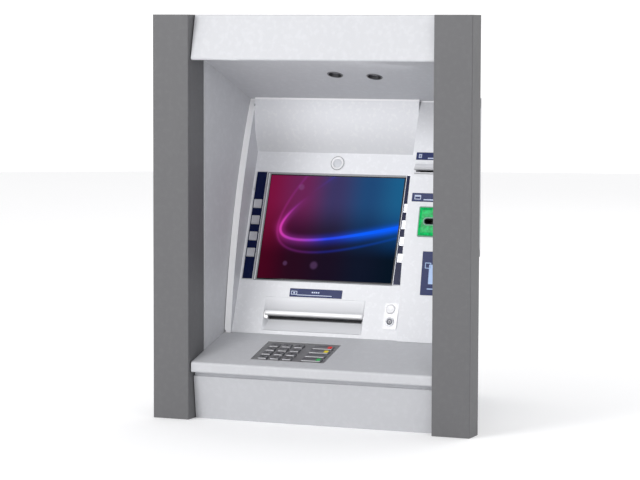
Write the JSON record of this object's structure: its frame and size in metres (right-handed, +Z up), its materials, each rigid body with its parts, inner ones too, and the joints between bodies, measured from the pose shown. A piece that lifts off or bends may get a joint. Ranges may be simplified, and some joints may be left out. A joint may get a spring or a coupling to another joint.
{
  "type": "atm machine",
  "caption": "Through-the-wall cash machine with a framed recess, leaning screen fascia, keypad shelf, cash and card slots, rear safe and service cabinet.",
  "frame": {"origin": "centre of the footprint box, on the floor plane that the pillars and the safe stand on", "axes": "+X to the right of a user facing the machine, +Y from the user into the wall, +Z up"},
  "size_m": [0.69, 0.6, 0.83],
  "materials": {
    "pillar_grey": "satin powder coat",
    "header_white": "satin powder coat",
    "liner_grey": "satin powder coat",
    "fascia_silver": "fine-textured silver moulding",
    "shelf_silver": "satin silver paint",
    "screen": "display behind clear glass",
    "navy_gloss": "gloss",
    "key_silver": "satin",
    "white_plastic": "satin",
    "green_bezel": "translucent green moulding",
    "keypad_steel": "brushed",
    "dark_plastic": "fine-textured",
    "black_enamel": "satin enamel",
    "safe_grey": "textured powder coat",
    "cabinet_grey": "textured powder coat",
    "bright_steel": "turned",
    "zinc_steel": "zinc-plated sheet",
    "cassette_plastic": "fine-textured",
    "paper": "uncoated paper"
  },
  "bodies": {
    "machine": {"left_pillar": "pillar_grey", "right_pillar": "pillar_grey", "header_panel": "header_white", "recess_liner": "liner_grey", "downlights": "dark_plastic", "main_fascia": "fascia_silver", "side_column": "fascia_silver", "shelf": "shelf_silver", "kick_panel": "shelf_silver", "display_glass": "screen", "lcd_monitor": "zinc_steel", "softkey_strips": "navy_gloss", "camera_window": "white_plastic", "cash_bezel": "fascia_silver", "label_plates": "navy_gloss", "audio_plate": "white_plastic", "receipt_lip": "fascia_silver", "receipt_printer": "dark_plastic", "card_bezel": "green_bezel", "card_reader": "zinc_steel", "keypad_frame": "keypad_steel", "safe_body": "safe_grey", "hinge_pins": "bright_steel", "note_dispenser": "zinc_steel", "service_cabinet": "cabinet_grey", "control_electronics": "zinc_steel"},
    "cash_shutter": {"cash_shutter": "dark_plastic"},
    "card_shutter": {"card_shutter": "dark_plastic"},
    "safe_door": {"safe_door": "safe_grey"},
    "safe_handle": {"safe_handle": "black_enamel"},
    "lock_bolts": {"lock_bolts": "bright_steel"},
    "note_cassette": {"note_cassette": "cassette_plastic"},
    "cabinet_door": {"cabinet_door": "cabinet_grey"},
    "cabinet_latch": {"cabinet_latch": "bright_steel"},
    "paper_roll": {"paper_roll": "paper"},
    "volume_button": {"volume_button": "white_plastic"},
    "softkey_l1": {"softkey_l1": "key_silver"},
    "softkey_l2": {"softkey_l2": "key_silver"},
    "softkey_l3": {"softkey_l3": "key_silver"},
    "softkey_l4": {"softkey_l4": "key_silver"},
    "softkey_r1": {"softkey_r1": "key_silver"},
    "softkey_r2": {"softkey_r2": "key_silver"},
    "softkey_r3": {"softkey_r3": "key_silver"},
    "softkey_r4": {"softkey_r4": "key_silver"},
    "key_1": {"key_1": "keypad_steel"},
    "key_2": {"key_2": "keypad_steel"},
    "key_3": {"key_3": "keypad_steel"},
    "key_4": {"key_4": "keypad_steel"},
    "key_5": {"key_5": "keypad_steel"},
    "key_6": {"key_6": "keypad_steel"},
    "key_7": {"key_7": "keypad_steel"},
    "key_8": {"key_8": "keypad_steel"},
    "key_9": {"key_9": "keypad_steel"},
    "key_star": {"key_star": "keypad_steel"},
    "key_0": {"key_0": "keypad_steel"},
    "key_hash": {"key_hash": "keypad_steel"},
    "key_cancel": {"key_cancel": "keypad_steel"},
    "key_clear": {"key_clear": "keypad_steel"},
    "key_blank": {"key_blank": "keypad_steel"},
    "key_enter": {"key_enter": "keypad_steel"}
  },
  "joints": [
    {"name": "cabinet_door_hinge", "type": "hinge", "parent": "machine", "child": "cabinet_door", "pos_m": [-0.247, 0.169, 0.5], "axis": [0, 0, 1], "range_deg": [0, 110]},
    {"name": "cabinet_latch_turn", "type": "hinge", "parent": "cabinet_door", "child": "cabinet_latch", "pos_m": [0.172, 0.165, 0.56], "axis": [0, -1, 0], "range_deg": [0, 90]},
    {"name": "card_shutter_slide", "type": "slide", "parent": "machine", "child": "card_shutter", "axis": [0, 0, 1], "range_m": [0, 0.009]},
    {"name": "cash_shutter_slide", "type": "slide", "parent": "machine", "child": "cash_shutter", "axis": [0, 0.342, 0.9397], "range_m": [0, 0.009]},
    {"name": "paper_roll_spin", "type": "hinge", "parent": "machine", "child": "paper_roll", "pos_m": [0.19, 0.011, 0.56], "axis": [1, 0, 0], "continuous": true},
    {"name": "safe_door_hinge", "type": "hinge", "parent": "machine", "child": "safe_door", "pos_m": [-0.207, 0.2735, 0.165], "axis": [0, 0, 1], "range_deg": [0, 100]},
    {"name": "cassette_slide", "type": "slide", "parent": "machine", "child": "note_cassette", "axis": [0, 1, 0], "range_m": [0, 0.238]},
    {"name": "safe_handle_turn", "type": "hinge", "parent": "safe_door", "child": "safe_handle", "pos_m": [0.095, 0.282, 0.165], "axis": [0, 1, 0], "range_deg": [0, 90]},
    {"name": "lock_bolt_slide", "type": "slide", "parent": "safe_door", "child": "lock_bolts", "axis": [1, 0, 0], "range_m": [0, 0.0121]},
    {"name": "volume_button_press", "type": "slide", "parent": "machine", "child": "volume_button", "axis": [0, 0.9397, -0.342], "range_m": [0, 0.002], "stiffness_N_per_m": 400, "springref_m": -0.002},
    {"name": "softkey_l1_press", "type": "slide", "parent": "machine", "child": "softkey_l1", "axis": [0, 0.9397, -0.342], "range_m": [0, 0.002], "stiffness_N_per_m": 400, "springref_m": -0.002},
    {"name": "softkey_l2_press", "type": "slide", "parent": "machine", "child": "softkey_l2", "axis": [0, 0.9397, -0.342], "range_m": [0, 0.002], "stiffness_N_per_m": 400, "springref_m": -0.002},
    {"name": "softkey_l3_press", "type": "slide", "parent": "machine", "child": "softkey_l3", "axis": [0, 0.9397, -0.342], "range_m": [0, 0.002], "stiffness_N_per_m": 400, "springref_m": -0.002},
    {"name": "softkey_l4_press", "type": "slide", "parent": "machine", "child": "softkey_l4", "axis": [0, 0.9397, -0.342], "range_m": [0, 0.002], "stiffness_N_per_m": 400, "springref_m": -0.002},
    {"name": "softkey_r1_press", "type": "slide", "parent": "machine", "child": "softkey_r1", "axis": [0, 0.9397, -0.342], "range_m": [0, 0.002], "stiffness_N_per_m": 400, "springref_m": -0.002},
    {"name": "softkey_r2_press", "type": "slide", "parent": "machine", "child": "softkey_r2", "axis": [0, 0.9397, -0.342], "range_m": [0, 0.002], "stiffness_N_per_m": 400, "springref_m": -0.002},
    {"name": "softkey_r3_press", "type": "slide", "parent": "machine", "child": "softkey_r3", "axis": [0, 0.9397, -0.342], "range_m": [0, 0.002], "stiffness_N_per_m": 400, "springref_m": -0.002},
    {"name": "softkey_r4_press", "type": "slide", "parent": "machine", "child": "softkey_r4", "axis": [0, 0.9397, -0.342], "range_m": [0, 0.002], "stiffness_N_per_m": 400, "springref_m": -0.002},
    {"name": "key_1_press", "type": "slide", "parent": "machine", "child": "key_1", "axis": [0, 0.2656, -0.9641], "range_m": [0, 0.002], "stiffness_N_per_m": 400, "springref_m": -0.002},
    {"name": "key_2_press", "type": "slide", "parent": "machine", "child": "key_2", "axis": [0, 0.2656, -0.9641], "range_m": [0, 0.002], "stiffness_N_per_m": 400, "springref_m": -0.002},
    {"name": "key_3_press", "type": "slide", "parent": "machine", "child": "key_3", "axis": [0, 0.2656, -0.9641], "range_m": [0, 0.002], "stiffness_N_per_m": 400, "springref_m": -0.002},
    {"name": "key_4_press", "type": "slide", "parent": "machine", "child": "key_4", "axis": [0, 0.2656, -0.9641], "range_m": [0, 0.002], "stiffness_N_per_m": 400, "springref_m": -0.002},
    {"name": "key_5_press", "type": "slide", "parent": "machine", "child": "key_5", "axis": [0, 0.2656, -0.9641], "range_m": [0, 0.002], "stiffness_N_per_m": 400, "springref_m": -0.002},
    {"name": "key_6_press", "type": "slide", "parent": "machine", "child": "key_6", "axis": [0, 0.2656, -0.9641], "range_m": [0, 0.002], "stiffness_N_per_m": 400, "springref_m": -0.002},
    {"name": "key_7_press", "type": "slide", "parent": "machine", "child": "key_7", "axis": [0, 0.2656, -0.9641], "range_m": [0, 0.002], "stiffness_N_per_m": 400, "springref_m": -0.002},
    {"name": "key_8_press", "type": "slide", "parent": "machine", "child": "key_8", "axis": [0, 0.2656, -0.9641], "range_m": [0, 0.002], "stiffness_N_per_m": 400, "springref_m": -0.002},
    {"name": "key_9_press", "type": "slide", "parent": "machine", "child": "key_9", "axis": [0, 0.2656, -0.9641], "range_m": [0, 0.002], "stiffness_N_per_m": 400, "springref_m": -0.002},
    {"name": "key_star_press", "type": "slide", "parent": "machine", "child": "key_star", "axis": [0, 0.2656, -0.9641], "range_m": [0, 0.002], "stiffness_N_per_m": 400, "springref_m": -0.002},
    {"name": "key_0_press", "type": "slide", "parent": "machine", "child": "key_0", "axis": [0, 0.2656, -0.9641], "range_m": [0, 0.002], "stiffness_N_per_m": 400, "springref_m": -0.002},
    {"name": "key_hash_press", "type": "slide", "parent": "machine", "child": "key_hash", "axis": [0, 0.2656, -0.9641], "range_m": [0, 0.002], "stiffness_N_per_m": 400, "springref_m": -0.002},
    {"name": "key_cancel_press", "type": "slide", "parent": "machine", "child": "key_cancel", "axis": [0, 0.2656, -0.9641], "range_m": [0, 0.002], "stiffness_N_per_m": 400, "springref_m": -0.002},
    {"name": "key_clear_press", "type": "slide", "parent": "machine", "child": "key_clear", "axis": [0, 0.2656, -0.9641], "range_m": [0, 0.002], "stiffness_N_per_m": 400, "springref_m": -0.002},
    {"name": "key_blank_press", "type": "slide", "parent": "machine", "child": "key_blank", "axis": [0, 0.2656, -0.9641], "range_m": [0, 0.002], "stiffness_N_per_m": 400, "springref_m": -0.002},
    {"name": "key_enter_press", "type": "slide", "parent": "machine", "child": "key_enter", "axis": [0, 0.2656, -0.9641], "range_m": [0, 0.002], "stiffness_N_per_m": 400, "springref_m": -0.002}
  ],
  "couplings": [
    {"joint": "cassette_slide", "follows": "safe_door_hinge", "m_per_rad": 0.136},
    {"joint": "lock_bolt_slide", "follows": "safe_handle_turn", "m_per_rad": 0.00763}
  ]
}
